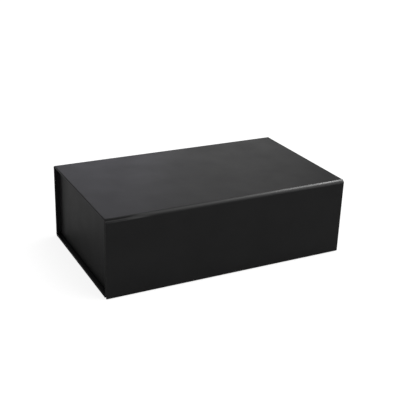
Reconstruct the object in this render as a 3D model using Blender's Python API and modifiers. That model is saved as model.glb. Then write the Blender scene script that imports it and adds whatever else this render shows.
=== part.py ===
"""Rigid gift box with a hinged lid, a magnetic front flap and fold-in end walls.

Metres, +Z up, lid closed and end walls upright. X runs along the length of the box, the flap
faces -Y and Z = 0 is the surface that the box stands on. Every wall is a greyboard core wrapped in
black paper: the cover sheet goes round the outside and turns in over the edges, and a liner sheet
fills the inner face between the turn-ins.
"""
import math

import bmesh
import bpy
from mathutils import Vector

MM = 0.001

# Overall size
WIDTH = 330 * MM
DEPTH = 195 * MM
HEIGHT = 103 * MM

# Wall build-up, from the cover sheet to the liner sheet
PAPER = 0.2 * MM
GLUE = 0.2 * MM
BOARD = 2.0 * MM
WALL = BOARD + 2 * (PAPER + GLUE)
TURN_IN = 4.0 * MM
LINER_GAP = 0.3 * MM

# Folds and clearances
CREASE = 3.5 * MM             # leg of the 45 degree strip of bare paper between two walls
CREASE_PAPER = 0.35 * MM      # cover and liner bonded together
FIT = 0.4 * MM                # clearance between closed walls
FLAP_LIFT = 1.0 * MM          # flap's lower edge above the floor
SEAM = 0.3 * MM               # gap between neighbouring pieces of paper

# End walls and their wings
END_INSET = 6.0 * MM
END_LIFT = 0.5 * MM           # end wall's lower edge above the base
CORNER_CUT = 2.0 * MM         # cut across the end wall's lower corners
END_PIVOT_INSET = 2.6 * MM    # fold line inside the end wall's inner face
END_PIVOT_LIFT = 0.2 * MM
WING_LENGTH = 40.0 * MM
WING_BOARD = 1.2 * MM
WING_WALL = WING_BOARD + 2 * (PAPER + GLUE)
WING_GAP = 0.6 * MM           # wing to front or back wall, with the adhesive strip in it
WING_FOOT = 2.0 * MM          # lowest corner of the wing above the base
WING_TOP_DROP = 0.8 * MM
WING_TURN_IN = 7.0 * MM
STRIP_WIDTH = 12.0 * MM
STRIP_LENGTH = 36.0 * MM
HINGE_LEG = 7.0 * MM
WING_HINGE_LEG = 4.0 * MM

# Magnetic catch
MAGNET_RADIUS = 5.0 * MM
MAGNET_THICKNESS = 1.6 * MM
MAGNET_X = 105.0 * MM
MAGNET_Z = 20.0 * MM
POCKET_CLEARANCE = 0.3 * MM

# Edge softening
PAPER_EDGE = 0.25 * MM
BOARD_EDGE = 0.3 * MM
CUT_MARGIN = 1.0 * MM

# Planes worked out from the sizes above
HALF_WIDTH = WIDTH / 2
FRONT = -DEPTH / 2
BACK = DEPTH / 2
FLAP_INNER = FRONT + WALL
FRONT_WALL_OUTER = FLAP_INNER + FIT
FRONT_WALL_INNER = FRONT_WALL_OUTER + WALL
BACK_WALL_INNER = BACK - WALL
BASE_TOP = WALL
LID_UNDER = HEIGHT - WALL
WALL_TOP = LID_UNDER - FIT
CREASE_TOP = HEIGHT - CREASE
END_OUTER = HALF_WIDTH - END_INSET
END_INNER = END_OUTER - WALL
END_BOTTOM = BASE_TOP + END_LIFT
PIVOT_DROP = CREASE * (1 - math.sqrt(0.5))    # pivot of a crease below its two outer faces
WING_PIVOT_X = END_INNER - FIT
WING_TOP = WALL_TOP - WING_TOP_DROP

COVER = ("black_cover_paper", (0.021, 0.021, 0.023), 0.42, 0.0)
LINER = ("black_liner_paper", (0.024, 0.024, 0.026), 0.60, 0.0)
HINGE = ("black_hinge_paper", (0.019, 0.019, 0.021), 0.46, 0.0)
GREYBOARD = ("greyboard", (0.27, 0.25, 0.22), 0.90, 0.0)
NICKEL = ("nickel_magnet", (0.62, 0.61, 0.58), 0.22, 1.0)
STEEL = ("steel_striker", (0.45, 0.45, 0.46), 0.38, 1.0)
TAPE = ("release_liner", (0.78, 0.77, 0.73), 0.55, 0.0)


def clear_scene():
    for old in list(bpy.data.objects):
        bpy.data.objects.remove(old, do_unlink=True)


def new_collection(name):
    collection = bpy.data.collections.new(name)
    bpy.context.scene.collection.children.link(collection)
    return collection


def material(spec):
    name, colour, roughness, metallic = spec
    found = bpy.data.materials.get(name)
    if found:
        return found
    made = bpy.data.materials.new(name)
    made.use_nodes = True
    shader = made.node_tree.nodes["Principled BSDF"]
    shader.inputs["Base Color"].default_value = (*colour, 1.0)
    shader.inputs["Roughness"].default_value = roughness
    shader.inputs["Metallic"].default_value = metallic
    return made


def world_position(obj):
    place = Vector(obj.location)
    while obj.parent:
        obj = obj.parent
        place += obj.location
    return place


def pivot(name, position, parent=None):
    """An empty on a joint's axis, which carries the pieces that move about it."""
    empty = bpy.data.objects.new(name, None)
    parts.objects.link(empty)
    empty.parent = parent
    empty.location = Vector(position) - (world_position(parent) if parent else Vector())
    return empty


def add_mesh(name, mesh, centre, spec=None, parent=None):
    """A mesh object: a sub-part where it has a material, a cutter where it has none."""
    obj = bpy.data.objects.new(name, mesh)
    if spec:
        parts.objects.link(obj)
        mesh.materials.append(material(spec))
    else:
        cutters.objects.link(obj)
        obj.hide_render = True
        obj.display_type = "WIRE"
    obj.parent = parent
    obj.location = Vector(centre) - (world_position(parent) if parent else Vector())
    return obj


def box(name, low, high, spec=None, parent=None):
    """A cube stretched between its lowest and highest corners."""
    low, high = Vector(low), Vector(high)
    work = bmesh.new()
    bmesh.ops.create_cube(work, size=1.0)
    bmesh.ops.scale(work, vec=high - low, verts=work.verts)
    mesh = bpy.data.meshes.new(name)
    work.to_mesh(mesh)
    work.free()
    return add_mesh(name, mesh, (low + high) / 2, spec, parent)


def disc(name, centre, radius, thickness, spec=None, parent=None):
    """A flat cylinder whose axis runs along Y."""
    work = bmesh.new()
    bmesh.ops.create_cone(work, cap_ends=True, segments=48, radius1=radius, radius2=radius, depth=thickness)
    bmesh.ops.rotate(work, cent=(0, 0, 0), verts=work.verts,
                     matrix=Vector((0, 0, 1)).rotation_difference(Vector((0, 1, 0))).to_matrix())
    mesh = bpy.data.meshes.new(name)
    work.to_mesh(mesh)
    work.free()
    mesh.shade_smooth()
    mesh.set_sharp_from_angle(angle=math.radians(30))
    return add_mesh(name, mesh, centre, spec, parent)


# Turns a flat outline's own X, Y and extrusion direction into the world's.
TURNS = {
    "X": (math.pi / 2, 0, math.pi / 2),   # outline in (y, z), extruded along X
    "Y": (math.pi / 2, 0, 0),             # outline in (x, z), extruded along Y
    "Z": (0, 0, 0),                       # outline in (x, y), extruded along Z
}


def prism(name, outline, axis, start, end, spec=None, parent=None):
    """A flat outline extruded along one axis from start to end."""
    curve = bpy.data.curves.new(name, "CURVE")
    curve.dimensions = "2D"
    curve.fill_mode = "BOTH"
    curve.extrude = (end - start) / 2
    spline = curve.splines.new("POLY")
    spline.points.add(len(outline) - 1)
    for point, (across, up) in zip(spline.points, outline):
        point.co = (across, up, 0, 1)
    spline.use_cyclic_u = True
    drawn = bpy.data.objects.new(name, curve)
    cutters.objects.link(drawn)
    drawn.rotation_euler = TURNS[axis]
    bpy.context.view_layer.update()
    mesh = bpy.data.meshes.new_from_object(drawn.evaluated_get(bpy.context.evaluated_depsgraph_get()))
    mesh.transform(drawn.matrix_world)
    bpy.data.objects.remove(drawn, do_unlink=True)
    mesh.name = name
    work = bmesh.new()
    work.from_mesh(mesh)
    bmesh.ops.remove_doubles(work, verts=work.verts, dist=0.01 * MM)
    bmesh.ops.recalc_face_normals(work, faces=work.faces)
    work.to_mesh(mesh)
    work.free()
    middle = {"X": ((start + end) / 2, 0, 0), "Y": (0, (start + end) / 2, 0), "Z": (0, 0, (start + end) / 2)}
    return add_mesh(name, mesh, middle[axis], spec, parent)


def offset_path(path, distance):
    """A path moved sideways to its left, with mitred corners."""
    path = [Vector(point) for point in path]
    moved = []
    for index, point in enumerate(path):
        before = (point - path[index - 1]).normalized() if index > 0 else None
        after = (path[index + 1] - point).normalized() if index < len(path) - 1 else None
        before, after = before or after, after or before
        side = Vector((-before.y - after.y, before.x + after.x)).normalized()
        moved.append(point + side * distance / side.dot(Vector((-after.y, after.x))))
    return moved


def band(path, near, far):
    """The closed outline between two offsets of an open path."""
    return offset_path(path, near) + offset_path(path, far)[::-1]


def inset(outline, distance):
    """A closed anticlockwise outline drawn in by a distance."""
    count = len(outline)
    wrapped = [outline[-1], *outline, outline[0]]
    return offset_path(wrapped, distance)[1:count + 1]


def shorten(path, amount):
    """An open path with both of its ends drawn back."""
    path = [Vector(point) for point in path]
    path[0] += (path[1] - path[0]).normalized() * amount
    path[-1] += (path[-2] - path[-1]).normalized() * amount
    return path


def cut(target, cutter):
    modifier = target.modifiers.new("cut_" + cutter.name, "BOOLEAN")
    modifier.operation = "DIFFERENCE"
    modifier.object = cutter


def soften(obj, width):
    modifier = obj.modifiers.new("edges", "BEVEL")
    modifier.width = width
    modifier.segments = 2
    modifier.limit_method = "ANGLE"
    modifier.angle_limit = math.radians(40)


def anticlockwise(outline):
    """An outline in anticlockwise order, whichever way it was drawn."""
    count = len(outline)
    area = sum(outline[i][0] * outline[(i + 1) % count][1] - outline[(i + 1) % count][0] * outline[i][1]
               for i in range(count))
    return outline if area > 0 else outline[::-1]


def rectangle(low, high):
    return [(low[0], low[1]), (high[0], low[1]), (high[0], high[1]), (low[0], high[1])]


def between(first, second):
    """Two numbers in rising order."""
    return (first, second) if first < second else (second, first)


def wrapped_wall(name, outline, window, axis, outer, inner, parent):
    """A flat wall: a greyboard core and a cover sheet that wraps its outer face and its edges.

    outer and inner are the places of its two faces along the axis. The cover turns in over the
    inner face as far as the window's outline. Returns the board.
    """
    inward = math.copysign(1.0, inner - outer)
    cover = prism(name + "_cover", outline, axis, *between(outer, inner), COVER, parent)
    soften(cover, PAPER_EDGE)
    core = between(outer + inward * PAPER, inner - inward * PAPER)
    cut(cover, prism(name + "_core", inset(outline, PAPER), axis, *core, parent=parent))
    depth = between(inner + inward * CUT_MARGIN, inner - inward * (PAPER + GLUE / 2))
    cut(cover, prism(name + "_window", window, axis, *depth, parent=parent))

    skin = PAPER + GLUE
    faces = between(outer + inward * skin, inner - inward * skin)
    board = prism(name + "_board", inset(outline, skin), axis, *faces, GREYBOARD, parent)
    soften(board, BOARD_EDGE)
    return board


def liner_sheet(name, window, axis, inner, outward, parent):
    """The sheet that fills a wall's window. outward points from its inner face into the wall."""
    sheet = inset(window, LINER_GAP)
    prism(name + "_liner", sheet, axis, *between(inner, inner + outward * PAPER), LINER, parent)


def catch_half(board, name, centre, spec, parent):
    """A disc set in a hole punched through a board."""
    disc(name, centre, MAGNET_RADIUS, MAGNET_THICKNESS, spec, parent)
    cut(board, disc(name + "_hole", centre, MAGNET_RADIUS + POCKET_CLEARANCE, WALL, parent=parent))


def build_case():
    """Front wall, base and back wall: three boards in one cover sheet and one liner sheet."""
    path = [(FRONT_WALL_OUTER, WALL_TOP), (FRONT_WALL_OUTER, CREASE), (FRONT_WALL_OUTER + CREASE, 0),
            (BACK - CREASE, 0), (BACK, CREASE), (BACK, CREASE_TOP)]
    cover = prism("case_cover", band(path, 0, WALL), "X", -HALF_WIDTH, HALF_WIDTH, COVER)
    core_end = HALF_WIDTH - PAPER
    core = band(shorten(path, PAPER), PAPER, WALL - PAPER)
    cut(cover, prism("case_cover_core", core, "X", -core_end, core_end))
    window_end = HALF_WIDTH - TURN_IN
    window = band(shorten(path, TURN_IN), WALL - PAPER - GLUE / 2, WALL + CUT_MARGIN)
    cut(cover, prism("case_cover_window", window, "X", -window_end, window_end))
    liner_end = window_end - LINER_GAP
    liner = band(shorten(path, TURN_IN + LINER_GAP), WALL - PAPER, WALL)
    prism("case_liner", liner, "X", -liner_end, liner_end, LINER)

    skin = PAPER + GLUE
    ends = HALF_WIDTH - skin
    front_board = box("front_wall_board", (-ends, FRONT_WALL_OUTER + skin, CREASE + SEAM),
                      (ends, FRONT_WALL_INNER - skin, WALL_TOP - skin), GREYBOARD)
    base_board = box("base_board", (-ends, FRONT_WALL_OUTER + CREASE + SEAM, skin),
                     (ends, BACK - CREASE - SEAM, BASE_TOP - skin), GREYBOARD)
    back_board = box("back_wall_board", (-ends, BACK_WALL_INNER + skin, CREASE + SEAM),
                     (ends, BACK - skin, CREASE_TOP - skin), GREYBOARD)
    for board in (front_board, base_board, back_board):
        soften(board, BOARD_EDGE)
    middle = (FRONT_WALL_OUTER + FRONT_WALL_INNER) / 2
    for side, x in (("left", -MAGNET_X), ("right", MAGNET_X)):
        catch_half(front_board, side + "_striker", (x, middle, MAGNET_Z), STEEL, None)


def build_crease(name, path, half_length, parent):
    """The strip of bare paper that joins two walls along X."""
    strip = band(shorten(path, SEAM + CREASE_PAPER), 0, CREASE_PAPER)
    prism(name, strip, "X", -half_length, half_length, HINGE, parent)


def build_lid(lid):
    outline = rectangle((-HALF_WIDTH, FRONT + CREASE), (HALF_WIDTH, BACK - CREASE))
    window = inset(outline, TURN_IN)
    wrapped_wall("lid", outline, window, "Z", HEIGHT, LID_UNDER, lid)
    liner_sheet("lid", window, "Z", LID_UNDER, 1, lid)
    build_crease("lid_crease", [(BACK, CREASE_TOP), (BACK - CREASE, HEIGHT)], HALF_WIDTH, None)
    build_crease("flap_crease", [(FRONT + CREASE, HEIGHT), (FRONT, CREASE_TOP)], HALF_WIDTH, lid)


def build_flap(flap):
    outline = rectangle((-HALF_WIDTH, FLAP_LIFT), (HALF_WIDTH, CREASE_TOP))
    window = inset(outline, TURN_IN)
    board = wrapped_wall("flap", outline, window, "Y", FRONT, FLAP_INNER, flap)
    liner_sheet("flap", window, "Y", FLAP_INNER, -1, flap)
    middle = (FRONT + FLAP_INNER) / 2
    for side, x in (("left", -MAGNET_X), ("right", MAGNET_X)):
        catch_half(board, side + "_magnet", (x, middle, MAGNET_Z), NICKEL, flap)


def build_end(name, out, end):
    """An end wall, whose lower corners clear the folds beside the base. out is -1 at the left end."""
    front, back = FRONT_WALL_INNER + FIT, BACK_WALL_INNER - FIT
    outline = [(front + CORNER_CUT, END_BOTTOM), (back - CORNER_CUT, END_BOTTOM),
               (back, END_BOTTOM + CORNER_CUT), (back, WALL_TOP), (front, WALL_TOP),
               (front, END_BOTTOM + CORNER_CUT)]
    window = inset(rectangle((front, END_BOTTOM), (back, WALL_TOP)), TURN_IN)
    wrapped_wall(name, outline, window, "X", out * END_OUTER, out * END_INNER, end)
    liner_sheet(name, window, "X", out * END_INNER, out, end)

    # Paper hinge: one leg on the base and one up the wall's inner face.
    face = END_INNER - SEAM
    foot = BASE_TOP + SEAM
    path = [(out * (face - HINGE_LEG), foot), (out * face, foot), (out * face, foot + HINGE_LEG)]
    strip = band(path, 0, out * PAPER)
    start = FRONT_WALL_INNER + WING_GAP + WING_WALL + SEAM
    stop = BACK_WALL_INNER - WING_GAP - WING_WALL - SEAM
    prism(name + "_crease", strip, "Y", start, stop, HINGE)


def build_wing(name, out, back, wing, end):
    """A wing that lies along the front wall (back is -1) or the back wall (back is +1).

    Its lower edge rises at 45 degrees, so that it clears the base as the end wall folds in.
    """
    root, tip = WING_PIVOT_X, WING_PIVOT_X - WING_LENGTH
    foot = BASE_TOP + WING_FOOT
    outline = anticlockwise([(out * root, foot), (out * root, WING_TOP),
                             (out * tip, WING_TOP), (out * tip, foot + WING_LENGTH)])
    wall_face = BACK_WALL_INNER if back > 0 else FRONT_WALL_INNER
    outer = wall_face - back * WING_GAP
    inner = outer - back * WING_WALL
    wrapped_wall(name, outline, inset(outline, WING_TURN_IN), "Y", inner, outer, wing)

    # Adhesive strip on the face that meets the front or back wall.
    strip_x = out * (root + tip) / 2
    strip_z = WING_TOP - WING_TURN_IN - STRIP_LENGTH / 2
    near, far = between(outer + back * GLUE, outer + back * (GLUE + PAPER))
    box(name + "_adhesive", (strip_x - STRIP_WIDTH / 2, near, strip_z - STRIP_LENGTH / 2),
        (strip_x + STRIP_WIDTH / 2, far, strip_z + STRIP_LENGTH / 2), TAPE, wing)

    # Paper hinge in the inside corner between the wing and the end wall.
    corner_x = out * (END_INNER - SEAM)
    corner_y = inner - back * SEAM
    path = [(corner_x - out * WING_HINGE_LEG, corner_y), (corner_x, corner_y),
            (corner_x, corner_y - back * WING_HINGE_LEG)]
    low_z = BASE_TOP + SEAM + HINGE_LEG + SEAM
    prism(name + "_crease", band(path, 0, -out * back * PAPER), "Z", low_z, WING_TOP - SEAM, HINGE, end)


clear_scene()
parts = new_collection("gift_box")
cutters = new_collection("cutters")

build_case()

lid_pivot = pivot("lid_pivot", (0, BACK - PIVOT_DROP, HEIGHT - PIVOT_DROP))
build_lid(lid_pivot)

flap_pivot = pivot("flap_pivot", (0, FRONT + PIVOT_DROP, HEIGHT - PIVOT_DROP), lid_pivot)
build_flap(flap_pivot)

for side, out in (("left", -1), ("right", 1)):
    end_name = side + "_end"
    end_x = out * (END_INNER - END_PIVOT_INSET)
    end_pivot = pivot(end_name + "_pivot", (end_x, 0, BASE_TOP + END_PIVOT_LIFT))
    build_end(end_name, out, end_pivot)
    for face, back in (("front", -1), ("back", 1)):
        wing_name = f"{side}_{face}_wing"
        wall_face = BACK_WALL_INNER if back > 0 else FRONT_WALL_INNER
        wing_y = wall_face - back * (WING_GAP + WING_WALL)
        wing_pivot = pivot(wing_name + "_pivot", (out * WING_PIVOT_X, wing_y, BASE_TOP), end_pivot)
        build_wing(wing_name, out, back, wing_pivot, end_pivot)
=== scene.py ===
"""Looks of the black magnetic gift box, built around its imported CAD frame.

Every wall is drawn again as wrapped board, with rounded edges and a separate liner sheet. Strips
of paper join the walls, and those at a joint bend as the box opens.
"""
import math

import bmesh
import bpy
from mathutils import Matrix, Vector, noise
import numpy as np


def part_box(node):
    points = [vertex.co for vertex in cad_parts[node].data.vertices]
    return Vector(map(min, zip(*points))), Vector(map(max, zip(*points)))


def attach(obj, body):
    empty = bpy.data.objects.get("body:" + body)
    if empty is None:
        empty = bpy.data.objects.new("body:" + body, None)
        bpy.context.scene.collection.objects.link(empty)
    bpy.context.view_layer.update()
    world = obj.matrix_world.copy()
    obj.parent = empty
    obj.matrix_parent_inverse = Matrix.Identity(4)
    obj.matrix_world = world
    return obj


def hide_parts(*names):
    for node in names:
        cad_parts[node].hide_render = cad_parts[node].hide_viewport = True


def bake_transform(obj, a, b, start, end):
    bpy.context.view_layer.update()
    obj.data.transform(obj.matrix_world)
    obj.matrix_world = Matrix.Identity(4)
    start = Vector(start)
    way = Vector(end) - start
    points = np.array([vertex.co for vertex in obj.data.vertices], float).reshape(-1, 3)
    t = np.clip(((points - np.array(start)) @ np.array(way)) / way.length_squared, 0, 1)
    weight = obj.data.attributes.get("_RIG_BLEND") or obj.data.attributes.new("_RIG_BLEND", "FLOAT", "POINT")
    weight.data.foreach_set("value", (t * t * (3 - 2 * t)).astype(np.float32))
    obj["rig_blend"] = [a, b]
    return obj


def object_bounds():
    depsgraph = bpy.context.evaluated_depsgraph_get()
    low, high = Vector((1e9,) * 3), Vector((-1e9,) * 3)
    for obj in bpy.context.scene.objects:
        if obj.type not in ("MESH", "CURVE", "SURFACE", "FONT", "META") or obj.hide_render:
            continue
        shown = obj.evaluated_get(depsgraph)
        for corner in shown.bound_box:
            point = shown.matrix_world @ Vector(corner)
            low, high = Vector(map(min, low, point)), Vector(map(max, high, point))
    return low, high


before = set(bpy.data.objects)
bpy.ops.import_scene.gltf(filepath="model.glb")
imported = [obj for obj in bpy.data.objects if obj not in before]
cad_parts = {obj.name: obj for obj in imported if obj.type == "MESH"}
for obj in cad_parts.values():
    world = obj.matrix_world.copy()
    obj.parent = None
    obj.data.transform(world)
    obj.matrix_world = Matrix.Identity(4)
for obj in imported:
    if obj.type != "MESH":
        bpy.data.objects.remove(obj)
cad_low, cad_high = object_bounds()

MM = 0.001

# Paper and board
EDGE_RADIUS = 1.0 * MM        # paper drawn over the edge of the board
CORNER_RADIUS = 0.5 * MM
WING_EDGE_RADIUS = 0.4 * MM
EDGE_STEPS = 4
CORNER_STEPS = 3
GRID = 12 * MM                # spacing of points along a wall's edges
FILL_STEPS = 9
FILL_CROWDING = 1.15          # rings lie a little closer together near a face's middle
WALL_SHARP_ANGLE, SHEET_SHARP_ANGLE = 50, 30
MERGE_DISTANCE = 0.0005 * MM
SUPPORT = 0.5 * MM            # loop beside a rounded edge, which keeps the flat face flat
BOW = 0.10 * MM               # how far glued board bows out of flat
BOW_SCALE = 5.5               # bows per metre
BOW_MARGIN = 25 * MM

LINER_MARGIN = 3.6 * MM
LINER_RISE = 0.13 * MM
LINER_SINK = 0.05 * MM
LINER_RADIUS = 0.06 * MM
WINDOW_MARGIN = 7.0 * MM
WINDOW_DEPTH = 0.22 * MM

# Folds
FOLD_PAPER = 0.35 * MM
FOLD_POINTS = 12
FOLD_STATION = 4 * MM
FOLD_BULGE = math.radians(24)     # how much a fold's edges turn out of its 45 degree chord
RIGHT_BULGE = math.radians(16)    # the front fold is flatter at its right end
LEFT_DIMPLE = math.radians(-44)   # the front fold is dished at its left end
DIMPLE_START, DIMPLE_END = 14 * MM, 65 * MM
FOLD_WAVER = math.radians(1.6)
WAVER_SCALE = 22                  # wavers per metre along a fold
WAVER_SPREAD = 40                 # sets one fold's waver apart from another's
HINGE_PAPER = 0.10 * MM           # paper hinges glued into the inside corners
HINGE_GAP = 0.03 * MM
HINGE_FILLET = 1.0 * MM
HINGE_BEND = 1.5 * MM             # length of each leg that bends
END_CUT = 2.0 * MM                # cut across the end panels' lower corners
TRIM = 0.15 * MM                  # taken off flap and front wall where they meet

# ---------------------------------------------------------------- places, from the frame

lid_low, lid_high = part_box("lid_cover")
flap_low, flap_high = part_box("flap_cover")
case_low, case_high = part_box("case_cover")
WALL = lid_high.z - lid_low.z
FOLD = lid_low.y - flap_low.y           # leg of the 45 degree fold between two walls
HALF_WIDTH = lid_high.x
FRONT_WALL_TOP = case_high.z
BACK_WALL_TOP = flap_high.z
BASE_FRONT = case_low.y + FOLD
BASE_BACK = case_high.y - FOLD
FRONT_FACE = case_low.y + TRIM

# ---------------------------------------------------------------- materials


class Nodes:
    """A material's node tree, built from short calls."""

    def __init__(self, name, roughness, specular, metallic=0.0):
        self.material = bpy.data.materials.new(name)
        self.material.use_nodes = True
        self.tree = self.material.node_tree
        self.shader = self.tree.nodes["Principled BSDF"]
        self.shader.inputs["Roughness"].default_value = roughness
        self.shader.inputs["Specular IOR Level"].default_value = specular
        self.shader.inputs["Metallic"].default_value = metallic
        self.coordinates = self.tree.nodes.new("ShaderNodeTexCoord").outputs["Object"]

    def noise(self, scale, detail=2.0, roughness=0.5, stretch=None):
        node = self.tree.nodes.new("ShaderNodeTexNoise")
        node.inputs["Scale"].default_value = scale
        node.inputs["Detail"].default_value = detail
        node.inputs["Roughness"].default_value = roughness
        vector = self.coordinates
        if stretch:
            mapping = self.tree.nodes.new("ShaderNodeMapping")
            mapping.inputs["Scale"].default_value = stretch
            self.tree.links.new(vector, mapping.inputs["Vector"])
            vector = mapping.outputs["Vector"]
        self.tree.links.new(vector, node.inputs["Vector"])
        return node.outputs["Fac"]

    def attribute(self, name):
        node = self.tree.nodes.new("ShaderNodeAttribute")
        node.attribute_name = name
        return node.outputs["Fac"]

    def remap(self, value, low, high, out_low, out_high):
        node = self.tree.nodes.new("ShaderNodeMapRange")
        node.inputs["From Min"].default_value = low
        node.inputs["From Max"].default_value = high
        node.inputs["To Min"].default_value = out_low
        node.inputs["To Max"].default_value = out_high
        self.tree.links.new(value, node.inputs["Value"])
        return node.outputs["Result"]

    def math(self, operation, first, second):
        node = self.tree.nodes.new("ShaderNodeMath")
        node.operation = operation
        self.tree.links.new(first, node.inputs[0])
        self.tree.links.new(second, node.inputs[1])
        return node.outputs["Value"]

    def mix(self, factor, first, second):
        node = self.tree.nodes.new("ShaderNodeMix")
        node.data_type = "RGBA"
        self.tree.links.new(factor, node.inputs["Factor"])
        # Sockets 6 and 7 are the colours going in, and output 2 is the colour coming out.
        for socket, value in zip(node.inputs[6:8], (first, second)):
            if isinstance(value, bpy.types.NodeSocket):
                self.tree.links.new(value, socket)
            else:
                socket.default_value = (*value, 1.0)
        return node.outputs[2]

    def bump(self, height, distance, below=None):
        node = self.tree.nodes.new("ShaderNodeBump")
        node.inputs["Distance"].default_value = distance
        node.inputs["Strength"].default_value = 1.0
        self.tree.links.new(height, node.inputs["Height"])
        if below:
            self.tree.links.new(below, node.inputs["Normal"])
        return node.outputs["Normal"]

    def finish(self, colour, roughness, normal):
        self.tree.links.new(colour, self.shader.inputs["Base Color"])
        self.tree.links.new(roughness, self.shader.inputs["Roughness"])
        self.tree.links.new(normal, self.shader.inputs["Normal"])
        return self.material


def laminated_paper(name, dark, light, worn, low_roughness, high_roughness, specular):
    """Black art paper under a soft film, with faint fibre, glue ripple and lightly rubbed edges."""
    nodes = Nodes(name, low_roughness, specular)
    fibre = nodes.noise(2600, detail=3, roughness=0.6, stretch=(1.0, 0.45, 1.0))
    cloud = nodes.noise(32, detail=3)
    ripple = nodes.noise(95, detail=1)
    scuff = nodes.noise(420, detail=4, roughness=0.7)
    base = nodes.mix(nodes.remap(cloud, 0.35, 0.65, 0.0, 1.0), dark, light)
    rub = nodes.math("MULTIPLY", nodes.attribute("edge"), nodes.remap(scuff, 0.48, 0.68, 0.0, 1.0))
    colour = nodes.mix(rub, base, worn)
    film = nodes.remap(cloud, 0.3, 0.7, low_roughness, high_roughness)
    roughness = nodes.math("ADD", film, nodes.remap(fibre, 0.3, 0.7, -0.015, 0.015))
    normal = nodes.bump(ripple, 0.018 * MM)
    normal = nodes.bump(fibre, 0.006 * MM, below=normal)
    return nodes.finish(colour, roughness, normal)


def lining_paper(name, dark, light):
    """Uncoated black paper, matte, with a visible felt grain."""
    nodes = Nodes(name, 0.62, 0.3)
    grain = nodes.noise(1500, detail=4, roughness=0.65, stretch=(0.4, 1.0, 1.0))
    cloud = nodes.noise(40, detail=2)
    colour = nodes.mix(nodes.math("MULTIPLY", grain, cloud), dark, light)
    normal = nodes.bump(grain, 0.02 * MM)
    return nodes.finish(colour, nodes.remap(grain, 0.3, 0.7, 0.56, 0.70), normal)


def greyboard(name):
    """Recycled board: warm grey with darker and paler fibres."""
    nodes = Nodes(name, 0.9, 0.2)
    fibres = nodes.noise(1300, detail=5, roughness=0.7, stretch=(0.25, 1.0, 1.0))
    flecks = nodes.noise(520, detail=2, roughness=0.8)
    share = nodes.remap(fibres, 0.35, 0.65, 0.0, 1.0)
    base = nodes.mix(share, (0.20, 0.185, 0.16), (0.33, 0.31, 0.275))
    colour = nodes.mix(nodes.remap(flecks, 0.62, 0.72, 0.0, 0.7), base, (0.10, 0.09, 0.08))
    roughness = nodes.remap(fibres, 0.3, 0.7, 0.84, 0.96)
    return nodes.finish(colour, roughness, nodes.bump(fibres, 0.05 * MM))


def metal(name, colour, tint, roughness, brushing):
    nodes = Nodes(name, roughness, 0.5, metallic=1.0)
    grain = nodes.noise(900, detail=3, stretch=brushing)
    shade = nodes.mix(nodes.remap(grain, 0.3, 0.7, 0.0, 1.0), colour, tint)
    rough = nodes.remap(grain, 0.3, 0.7, roughness * 0.8, roughness * 1.25)
    return nodes.finish(shade, rough, nodes.bump(grain, 0.004 * MM))


def release_paper(name):
    """Siliconed release paper over an adhesive strip: off-white, faintly glossy, finely creped."""
    nodes = Nodes(name, 0.4, 0.5)
    crepe = nodes.noise(700, detail=2, stretch=(1.0, 1.0, 0.2))
    colour = nodes.mix(nodes.remap(crepe, 0.3, 0.7, 0.0, 1.0), (0.70, 0.67, 0.60), (0.80, 0.78, 0.73))
    return nodes.finish(colour, nodes.remap(crepe, 0.3, 0.7, 0.34, 0.48), nodes.bump(crepe, 0.02 * MM))


COVER = laminated_paper("black_laminated_paper", (0.0048, 0.0048, 0.0051), (0.0064, 0.0064, 0.0067),
                        (0.012, 0.012, 0.0125), 0.33, 0.39, 0.5)
FOLDED = laminated_paper("black_folded_paper", (0.0048, 0.0048, 0.0051), (0.0066, 0.0066, 0.0069),
                         (0.020, 0.020, 0.021), 0.35, 0.41, 0.5)
LINER = lining_paper("black_lining_paper", (0.006, 0.006, 0.0065), (0.013, 0.013, 0.014))
BOARD = greyboard("greyboard")
NICKEL = metal("nickel_plate", (0.60, 0.58, 0.54), (0.68, 0.66, 0.62), 0.18, (1.0, 1.0, 1.0))
STEEL = metal("bare_steel", (0.36, 0.36, 0.37), (0.48, 0.48, 0.49), 0.36, (0.06, 1.0, 1.0))
RELEASE = release_paper("release_paper")

for name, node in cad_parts.items():
    node.data.materials.clear()
    if name.endswith("_board"):
        node.data.materials.append(BOARD)
    elif name.endswith("_magnet"):
        node.data.materials.append(NICKEL)
    elif name.endswith("_striker"):
        node.data.materials.append(STEEL)
    elif name.endswith("_adhesive"):
        node.data.materials.append(RELEASE)
    elif name.endswith("_liner"):
        node.data.materials.append(LINER)
    else:
        node.data.materials.append(COVER)

# ---------------------------------------------------------------- mesh tools


def add_object(name, mesh):
    made = bpy.data.objects.new(name, mesh)
    bpy.context.scene.collection.objects.link(made)
    return made


def smoothstep(share):
    share = min(1.0, max(0.0, share))
    return share * share * (3 - 2 * share)


def left_of(direction):
    return Vector((-direction.y, direction.x))


def inset_corners(corners, distance):
    """The corners of a convex anticlockwise outline, drawn in by a distance."""
    count = len(corners)
    moved = []
    for index, corner in enumerate(corners):
        before = left_of((corner - corners[index - 1]).normalized())
        after = left_of((corners[(index + 1) % count] - corner).normalized())
        inward = (before + after).normalized()
        moved.append(corner + inward * distance / inward.dot(after))
    return moved


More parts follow.
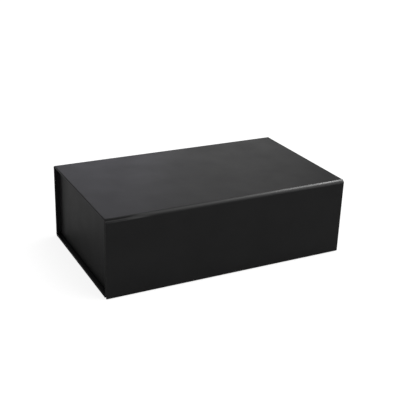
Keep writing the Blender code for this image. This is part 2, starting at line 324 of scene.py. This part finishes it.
def outline_ring(corners, inset, radius):
    """Points round an outline with rounded corners. Every inset gives the same number of points."""
    count = len(corners)
    centres = inset_corners(corners, max(inset, radius))
    reach = max(radius - inset, 0.0)
    arcs = []
    for index, centre in enumerate(centres):
        before = -left_of((corners[index] - corners[index - 1]).normalized())
        after = -left_of((corners[(index + 1) % count] - corners[index]).normalized())
        sweep = before.angle_signed(after)
        arcs.append([centre + Matrix.Rotation(-sweep * step / CORNER_STEPS, 2) @ before * reach
                     for step in range(CORNER_STEPS + 1)])
    ring = []
    for index, arc in enumerate(arcs):
        ring += arc
        following = arcs[(index + 1) % count][0]
        edge = (corners[(index + 1) % count] - corners[index]).length
        divisions = max(2, round(edge / GRID))
        ring += [arc[-1].lerp(following, step / divisions) for step in range(1, divisions)]
    return ring


def bridge(work, first, second, material):
    count = len(first)
    for index in range(count):
        after = (index + 1) % count
        face = work.faces.new((first[index], first[after], second[after], second[index]))
        face.material_index = material


def bowed(flat, corners, seed):
    """A wall's place function, with the wall bowed inwards by up to BOW away from its edges."""
    low = [min(corner[axis] for corner in corners) for axis in (0, 1)]
    high = [max(corner[axis] for corner in corners) for axis in (0, 1)]

    def place(across, up, depth):
        margin = min(across - low[0], high[0] - across, up - low[1], high[1] - up)
        wave = 0.5 + 0.5 * noise.noise(Vector((across * BOW_SCALE, up * BOW_SCALE, seed)))
        return flat(across, up, depth + BOW * wave * smoothstep(margin / BOW_MARGIN))
    return place


def fill_face(work, ring, corners, place, depth, material):
    """Closes a ring with smaller and smaller rings round its centre."""
    centre = sum(corners, Vector((0, 0))) / len(corners)
    flat = [point for point, _ in ring]
    outer = [vertex for _, vertex in ring]
    for step in range(1, FILL_STEPS):
        share = (1 - step / FILL_STEPS) ** FILL_CROWDING
        inner = []
        for point in flat:
            spot = centre + (point - centre) * share
            inner.append(work.verts.new(place(spot.x, spot.y, depth)))
        bridge(work, outer, inner, material)
        outer = inner
    hub = work.verts.new(place(centre.x, centre.y, depth))
    for index in range(len(outer)):
        face = work.faces.new((outer[index], outer[(index + 1) % len(outer)], hub))
        face.material_index = material


def add_wall(work, corners, thickness, place, radius=EDGE_RADIUS, window=False):
    """A wrapped wall. place turns (across, up, depth from the outer face) into a world point.

    With a window, the paper turns in over the inner face and leaves bare board in the middle.
    """
    edge_layer = work.verts.layers.float["edge"]
    turns = [math.pi / 2 * step / EDGE_STEPS for step in range(EDGE_STEPS + 1)]
    profile = [(radius + SUPPORT, 0.0)]
    profile += [(radius * (1 - math.sin(turn)), radius * (1 - math.cos(turn))) for turn in turns]
    profile += [(radius * (1 - math.sin(turn)), thickness - radius * (1 - math.cos(turn)))
                for turn in reversed(turns)]
    profile.append((radius + SUPPORT, thickness))
    if window:
        profile.append((WINDOW_MARGIN, thickness))
        profile.append((WINDOW_MARGIN + WINDOW_DEPTH / 2, thickness - WINDOW_DEPTH))
    rings = []
    for inset, depth in profile:
        points = outline_ring(corners, inset, CORNER_RADIUS)
        vertices = [work.verts.new(place(point.x, point.y, depth)) for point in points]
        for vertex in vertices:
            vertex[edge_layer] = max(0.0, 1.0 - inset / radius)
        rings.append(list(zip(points, vertices)))
    for first, second in zip(rings, rings[1:]):
        bridge(work, [vertex for _, vertex in first], [vertex for _, vertex in second], 0)
    fill_face(work, rings[0], corners, place, 0.0, 0)
    fill_face(work, rings[-1], corners, place, profile[-1][1], 1 if window else 0)


def add_sheet(work, outline, place, depth):
    """A sheet glued on at a depth, standing a paper's thickness proud, as a lining or a tape."""
    profile = [(LINER_RADIUS, depth - LINER_SINK), (0.0, depth - LINER_SINK),
               (0.0, depth + LINER_RISE - LINER_RADIUS), (LINER_RADIUS, depth + LINER_RISE),
               (LINER_RADIUS + SUPPORT, depth + LINER_RISE)]
    rings = []
    for inset, level in profile:
        points = outline_ring(outline, inset, 0.0)
        rings.append([(point, work.verts.new(place(point.x, point.y, level))) for point in points])
    for first, second in zip(rings, rings[1:]):
        bridge(work, [vertex for _, vertex in first], [vertex for _, vertex in second], 0)
    fill_face(work, rings[0], outline, place, profile[0][1], 0)
    fill_face(work, rings[-1], outline, place, profile[-1][1], 0)


def add_section_strip(work, sections):
    """A closed strip through cross-sections, each a list of world points in the same order."""
    loops = [[work.verts.new(point) for point in section] for section in sections]
    for first, second in zip(loops, loops[1:]):
        bridge(work, first, second, 0)
    work.faces.new(loops[0])
    work.faces.new(loops[-1])


def begin():
    work = bmesh.new()
    work.verts.layers.float.new("edge")
    return work


def piece(name, work, materials, sharp_angle=WALL_SHARP_ANGLE):
    """A finished, smoothly shaded object from a bmesh."""
    bmesh.ops.remove_doubles(work, verts=work.verts, dist=MERGE_DISTANCE)
    bmesh.ops.recalc_face_normals(work, faces=work.faces)
    mesh = bpy.data.meshes.new(name)
    work.to_mesh(mesh)
    work.free()
    for material in materials:
        mesh.materials.append(material)
    mesh.shade_smooth()
    mesh.set_sharp_from_angle(angle=math.radians(sharp_angle))
    return add_object(name, mesh)


def rectangle(low, high):
    return [Vector((low[0], low[1])), Vector((high[0], low[1])), Vector((high[0], high[1])),
            Vector((low[0], high[1]))]


# ---------------------------------------------------------------- walls


def facing_up(top):
    return lambda across, up, depth: Vector((across, up, top - depth))


def facing_down(bottom):
    return lambda across, up, depth: Vector((across, up, bottom + depth))


def facing_front(face):
    return lambda across, up, depth: Vector((across, face + depth, up))


def facing_back(face):
    return lambda across, up, depth: Vector((across, face - depth, up))


def facing_side(face, out):
    return lambda across, up, depth: Vector((face - out * depth, across, up))


def stands_for(obj, body, slot, *nodes):
    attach(obj, body)
    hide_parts(*nodes)


def finish_wrap(body, work):
    stands_for(piece(body + "_wrap", work, [COVER]), body, "cover_paper", body + "_cover")


def finish_lining(body, work):
    lining = piece(body + "_lining", work, [LINER], SHEET_SHARP_ANGLE)
    stands_for(lining, body, "liner_paper", body + "_liner")


def wall_pair(body, corners, thickness, place):
    """A body's one wall: its cover sheet and its liner sheet."""
    work = begin()
    add_wall(work, corners, thickness, place)
    finish_wrap(body, work)
    work = begin()
    add_sheet(work, inset_corners(corners, LINER_MARGIN), place, thickness)
    finish_lining(body, work)


lid_corners = rectangle((lid_low.x, lid_low.y), (lid_high.x, lid_high.y))
wall_pair("lid", lid_corners, WALL, bowed(facing_up(lid_high.z), lid_corners, 1.3))

flap_corners = rectangle((flap_low.x, flap_low.z), (flap_high.x, flap_high.z))
flap_place = bowed(facing_front(flap_low.y), flap_corners, 4.1)
wall_pair("flap", flap_corners, WALL - TRIM, flap_place)

# Corners, facing, thickness, and whether the wall bows. The base is flat, to clear the folded ends.
case_walls = [
    (rectangle((-HALF_WIDTH, FOLD), (HALF_WIDTH, FRONT_WALL_TOP)), facing_front(FRONT_FACE),
     WALL - TRIM, True),
    (rectangle((-HALF_WIDTH, BASE_FRONT), (HALF_WIDTH, BASE_BACK)), facing_down(case_low.z),
     WALL, False),
    (rectangle((-HALF_WIDTH, FOLD), (HALF_WIDTH, BACK_WALL_TOP)), facing_back(case_high.y),
     WALL, True),
]
case_work, case_liner_work = begin(), begin()
for seed, (corners, flat, thickness, bows) in enumerate(case_walls):
    place = bowed(flat, corners, 11.0 + seed) if bows else flat
    add_wall(case_work, corners, thickness, place)
    add_sheet(case_liner_work, inset_corners(corners, LINER_MARGIN), place, thickness)

# ---------------------------------------------------------------- folds between the walls


def fold_section(x, first, second, facing, way, tilt):
    """Cross-section of a fold's paper at x, between the rounded edges of two walls.

    first and second are the centres of those edges' roundings in (y, z). facing is the angle of
    the first wall's outward normal, and way is 1 or -1, the way it turns to reach the second
    wall's. tilt is how far the paper's edges turn out of the 45 degree chord between the walls.
    """
    start_angle = facing + way * (math.pi / 4 - tilt)
    end_angle = facing + way * (math.pi / 4 + tilt)
    outward = Vector((math.cos((start_angle + end_angle) / 2), math.sin((start_angle + end_angle) / 2)))
    start = first + EDGE_RADIUS * Vector((math.cos(start_angle), math.sin(start_angle)))
    end = second + EDGE_RADIUS * Vector((math.cos(end_angle), math.sin(end_angle)))
    sag = (end - start).length / 4 * math.tan(tilt)
    outer, inner = [], []
    for step in range(FOLD_POINTS + 1):
        share = step / FOLD_POINTS
        crown = 4 * share * (1 - share)
        point = start.lerp(end, share) + outward * (sag * crown)
        outer.append(Vector((x, *point)))
        inner.append(Vector((x, *(point - outward * FOLD_PAPER))))
    return outer + inner[::-1]


def add_fold(work, first, second, facing, way, dimple=False):
    """A fold along X. It bulges a little, and wavers along its length as folded paper does."""
    stations = round(2 * HALF_WIDTH / FOLD_STATION)
    sections = []
    for station in range(stations + 1):
        x = -HALF_WIDTH + 2 * HALF_WIDTH * station / stations
        spot = Vector((x * WAVER_SCALE, first[0] * WAVER_SPREAD, first[1] * WAVER_SPREAD))
        tilt = FOLD_BULGE + FOLD_WAVER * noise.noise(spot)
        if dimple:
            share = smoothstep((x + HALF_WIDTH - DIMPLE_START) / (DIMPLE_END - DIMPLE_START))
            tilt += (RIGHT_BULGE - FOLD_BULGE) * max(0.0, x) / HALF_WIDTH
            tilt = LEFT_DIMPLE + (tilt - LEFT_DIMPLE) * share
        sections.append(fold_section(x, Vector(first), Vector(second), facing, way, tilt))
    add_section_strip(work, sections)


def rounding(y, z, into_y, into_z):
    """Centre of a wall edge's rounding: in from the corner by the edge radius."""
    return (y + into_y * EDGE_RADIUS, z + into_z * EDGE_RADIUS)


UP, DOWN, BACKWARD = math.pi / 2, -math.pi / 2, 0.0

# Base to back wall and base to front wall: these folds don't move.
base_back_edge = rounding(BASE_BACK, case_low.z, -1, 1)
back_foot = rounding(case_high.y, case_low.z + FOLD, -1, 1)
add_fold(case_work, base_back_edge, back_foot, DOWN, 1)
base_front_edge = rounding(BASE_FRONT, case_low.z, 1, 1)
front_foot = rounding(FRONT_FACE, case_low.z + FOLD, 1, 1)
add_fold(case_work, base_front_edge, front_foot, DOWN, -1)
finish_wrap("case", case_work)
finish_lining("case", case_liner_work)

# Back wall to lid, and lid to flap: these bend.
back_top = rounding(case_high.y, BACK_WALL_TOP, -1, -1)
lid_back_edge = rounding(lid_high.y, lid_high.z, -1, -1)
work = begin()
add_fold(work, back_top, lid_back_edge, BACKWARD, 1)
lid_fold = piece("lid_fold", work, [FOLDED])
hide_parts("lid_crease")
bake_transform(lid_fold, "case", "lid", start=(0, *back_top), end=(0, *lid_back_edge))

lid_front_edge = rounding(lid_low.y, lid_high.z, 1, -1)
flap_top = rounding(flap_low.y, flap_high.z, 1, -1)
work = begin()
add_fold(work, lid_front_edge, flap_top, UP, 1, dimple=True)
flap_fold = piece("flap_fold", work, [FOLDED])
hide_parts("flap_crease")
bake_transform(flap_fold, "lid", "flap", start=(0, *lid_front_edge), end=(0, *flap_top))

# ---------------------------------------------------------------- end walls and wings


def add_hinge(node, corner, first, second, leg, along, fixed, moving):
    """Paper glued into an inside corner, in place of a CAD crease node.

    One leg lies along first on the fixed body, the other along second on the moving body.
    """
    turns = [math.pi / 2 * step / EDGE_STEPS for step in range(EDGE_STEPS + 1)]
    section = []
    for gap in (HINGE_GAP, HINGE_GAP + HINGE_PAPER):
        near = corner + (first + second) * gap
        centre = near + (first + second) * HINGE_FILLET
        bend = [centre - HINGE_FILLET * (first * math.sin(turn) + second * math.cos(turn))
                for turn in turns]
        line = [near + first * leg, *bend, near + second * leg]
        section += line if gap == HINGE_GAP else line[::-1]
    work = begin()
    add_section_strip(work, [section, [point + along for point in section]])
    made = piece(node.replace("_crease", "_hinge"), work, [FOLDED])
    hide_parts(node)
    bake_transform(made, fixed, moving, start=corner + first * HINGE_BEND, end=corner + second * HINGE_BEND)


def add_wing(side, out, face, back, face_x):
    """A glue wing with its strip of tape, and the paper hinge that joins it to its end panel.

    face_x is where the end panel's lining faces into the box.
    """
    wing = f"{side}_{face}_wing"
    low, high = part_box(wing + "_cover")
    root, tip = (low.x, high.x) if out < 0 else (high.x, low.x)
    corners = [Vector((root, low.z)), Vector((root, high.z)), Vector((tip, high.z)),
               Vector((tip, low.z + abs(tip - root)))]
    if out < 0:
        corners.reverse()
    thickness = high.y - low.y
    inner = high.y if back < 0 else low.y
    flat = facing_back(inner) if back < 0 else facing_front(inner)
    place = bowed(flat, corners, 30.0 + out + back / 2)
    work = begin()
    add_wall(work, corners, thickness, place, WING_EDGE_RADIUS, window=True)
    stands_for(piece(wing + "_wrap", work, [COVER, BOARD]), wing, "cover_paper", wing + "_cover")

    tape_low, tape_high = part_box(wing + "_adhesive")
    work = begin()
    add_sheet(work, rectangle((tape_low.x, tape_low.z), (tape_high.x, tape_high.z)), place, thickness)
    tape = piece(wing + "_tape", work, [RELEASE], SHEET_SHARP_ANGLE)
    stands_for(tape, wing, "adhesive_strip", wing + "_adhesive")

    crease_low, crease_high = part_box(wing + "_crease")
    corner = Vector((face_x, inner, crease_low.z))
    add_hinge(wing + "_crease", corner, Vector((0, -back, 0)), Vector((-out, 0, 0)),
              crease_high.x - crease_low.x, Vector((0, 0, crease_high.z - crease_low.z)),
              side + "_end", wing)


# out is -1 for the left end and 1 for the right.
for side, out in (("left", -1), ("right", 1)):
    body = side + "_end"
    low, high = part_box(body + "_cover")
    outer_face = low.x if out < 0 else high.x
    inner_face = high.x if out < 0 else low.x
    corners = [Vector((low.y + END_CUT, low.z)), Vector((high.y - END_CUT, low.z)),
               Vector((high.y, low.z + END_CUT)), Vector((high.y, high.z)), Vector((low.y, high.z)),
               Vector((low.y, low.z + END_CUT))]
    place = bowed(facing_side(outer_face, out), corners, 20.0 + out)
    work = begin()
    add_wall(work, corners, WALL, place)
    finish_wrap(body, work)
    work = begin()
    outline = inset_corners(rectangle((low.y, low.z), (high.y, high.z)), LINER_MARGIN)
    add_sheet(work, outline, place, WALL)
    finish_lining(body, work)

    hinge_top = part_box(body + "_crease")[1].z
    face_x = inner_face - out * LINER_RISE
    corner = Vector((face_x, low.y, case_low.z + WALL + LINER_RISE))
    add_hinge(body + "_crease", corner, Vector((-out, 0, 0)), Vector((0, 0, 1)),
              hinge_top - corner.z, Vector((0, high.y - low.y, 0)), "case", body)
    for face, back in (("front", -1), ("back", 1)):
        add_wing(side, out, face, back, face_x)

# ---------------------------------------------------------------- stage

FLOOR_RADIUS, BACKDROP_RADIUS = 14.0, 13.5
FLOOR_COLOUR, FLOOR_GLOW = (0.6, 0.6, 0.6, 1), 0.84
MIRROR_COLOUR = (0.52, 0.52, 0.52, 1)
MIRROR_LIFT = 0.2 * MM
WORLD_LIGHT = 0.225
WHITE, BLACK = (1, 1, 1, 1), (0, 0, 0, 1)


def stage_paint(name, colour, glow=0.0):
    """A dull paint for the stage, which can glow white."""
    paint = Nodes(name, 0.9, 0.0)
    paint.shader.inputs["Base Color"].default_value = colour
    if glow:
        paint.shader.inputs["Emission Color"].default_value = WHITE
        paint.shader.inputs["Emission Strength"].default_value = glow
    return paint.material


def hide_from(obj, *rays):
    for ray in rays:
        setattr(obj, "visible_" + ray, False)


# The floor is pure white to the camera. The box mirrors a greyer copy of it, just above.
floor_mesh = bpy.data.meshes.new("studio_floor")
work = bmesh.new()
bmesh.ops.create_circle(work, cap_ends=True, segments=96, radius=FLOOR_RADIUS)
work.to_mesh(floor_mesh)
work.free()
mirror_mesh = floor_mesh.copy()
floor_mesh.materials.append(stage_paint("floor_white", FLOOR_COLOUR, FLOOR_GLOW))
floor = add_object("studio_floor", floor_mesh)
hide_from(floor, "glossy")

mirror_mesh.materials.append(stage_paint("floor_grey", MIRROR_COLOUR))
mirror_floor = add_object("studio_floor_reflection", mirror_mesh)
mirror_floor.location.z = MIRROR_LIFT
hide_from(mirror_floor, "camera", "diffuse", "shadow", "transmission")

# A white dome that only the camera sees.
backdrop_mesh = bpy.data.meshes.new("studio_backdrop")
work = bmesh.new()
bmesh.ops.create_uvsphere(work, u_segments=48, v_segments=24, radius=BACKDROP_RADIUS)
work.to_mesh(backdrop_mesh)
work.free()
backdrop_mesh.materials.append(stage_paint("backdrop_white", BLACK, 1.0))
backdrop = add_object("studio_backdrop", backdrop_mesh)
hide_from(backdrop, "diffuse", "glossy", "shadow", "transmission")

world = bpy.data.worlds.new("studio")
bpy.context.scene.world = world
world.use_nodes = True
world.node_tree.nodes["Background"].inputs["Color"].default_value = WHITE
world.node_tree.nodes["Background"].inputs["Strength"].default_value = WORLD_LIGHT


def softbox(name, place, target, side, radiance):
    """A square area light of that radiance, which shows only in what the paper mirrors."""
    light = bpy.data.lights.new(name, "AREA")
    light.size = side
    light.energy = radiance * math.pi * side * side
    lamp = add_object(name, light)
    lamp.location = place
    lamp.rotation_euler = (target - place).to_track_quat("-Z", "Y").to_euler()
    hide_from(lamp, "camera", "diffuse")
    return lamp


def sun(name, towards, strength, angle):
    """A sun in that direction, as wide as the angle in degrees."""
    light = bpy.data.lights.new(name, "SUN")
    light.energy = strength
    light.angle = math.radians(angle)
    lamp = add_object(name, light)
    lamp.rotation_euler = (-Vector(towards)).to_track_quat("-Z", "Y").to_euler()


# A small lamp above and to the right of the front fold, which mirrors it.
FOLD_END = Vector((HALF_WIDTH, -0.095, 0.10))
softbox("strip_right", FOLD_END + Vector((0.33, 0, 0.49)), FOLD_END, 0.12, 33)

# Two cards behind the box, which the lid mirrors. The left one is a little violet.
CARD_RANGE, CARD_HEIGHT, CARD_SIZE = 2.911, 0.826, 0.843
BOX_MIDDLE = Vector((0, 0, 0.1))
for name, bearing, radiance, colour in (("card_behind_left", 15, 0.78, (0.88, 0.87, 1.0)),
                                        ("card_behind_right", 30, 0.47, (1.0, 1.0, 1.0))):
    across = math.sin(math.radians(bearing)) * CARD_RANGE
    behind = math.cos(math.radians(bearing)) * CARD_RANGE
    spot = Vector((across, behind, CARD_HEIGHT))
    softbox(name, spot, BOX_MIDDLE, CARD_SIZE, radiance).data.color = colour

sun("overhead", (0.62, -0.2, 0.75), 0.95, 66)

# ---------------------------------------------------------------- camera

AZIMUTH, ELEVATION, ROLL = math.radians(-27.46), math.radians(22.76), math.radians(1.90)
DISTANCE, SENSOR = 1.078, 36.0
FOCAL_SHARE = 2.0153
SLIDE_RIGHT, SLIDE_UP = 0.0047, 0.0113
camera_data = bpy.data.cameras.new("camera")
camera_data.sensor_width = SENSOR
camera_data.lens = SENSOR * FOCAL_SHARE
camera = add_object("camera", camera_data)
back = Vector((math.sin(AZIMUTH) * math.cos(ELEVATION), -math.cos(AZIMUTH) * math.cos(ELEVATION),
               math.sin(ELEVATION)))
level = (-back).cross(Vector((0, 0, 1))).normalized()
upright = level.cross(-back)
right = math.cos(ROLL) * level + math.sin(ROLL) * upright
up = math.cos(ROLL) * upright - math.sin(ROLL) * level
middle = Vector((0, 0, (cad_low.z + cad_high.z) / 2))
camera.location = middle + right * SLIDE_RIGHT + up * SLIDE_UP + back * DISTANCE
camera.rotation_euler = Matrix((right, up, back)).transposed().to_euler()
bpy.context.scene.camera = camera
bpy.context.scene.view_settings.view_transform = "Standard"
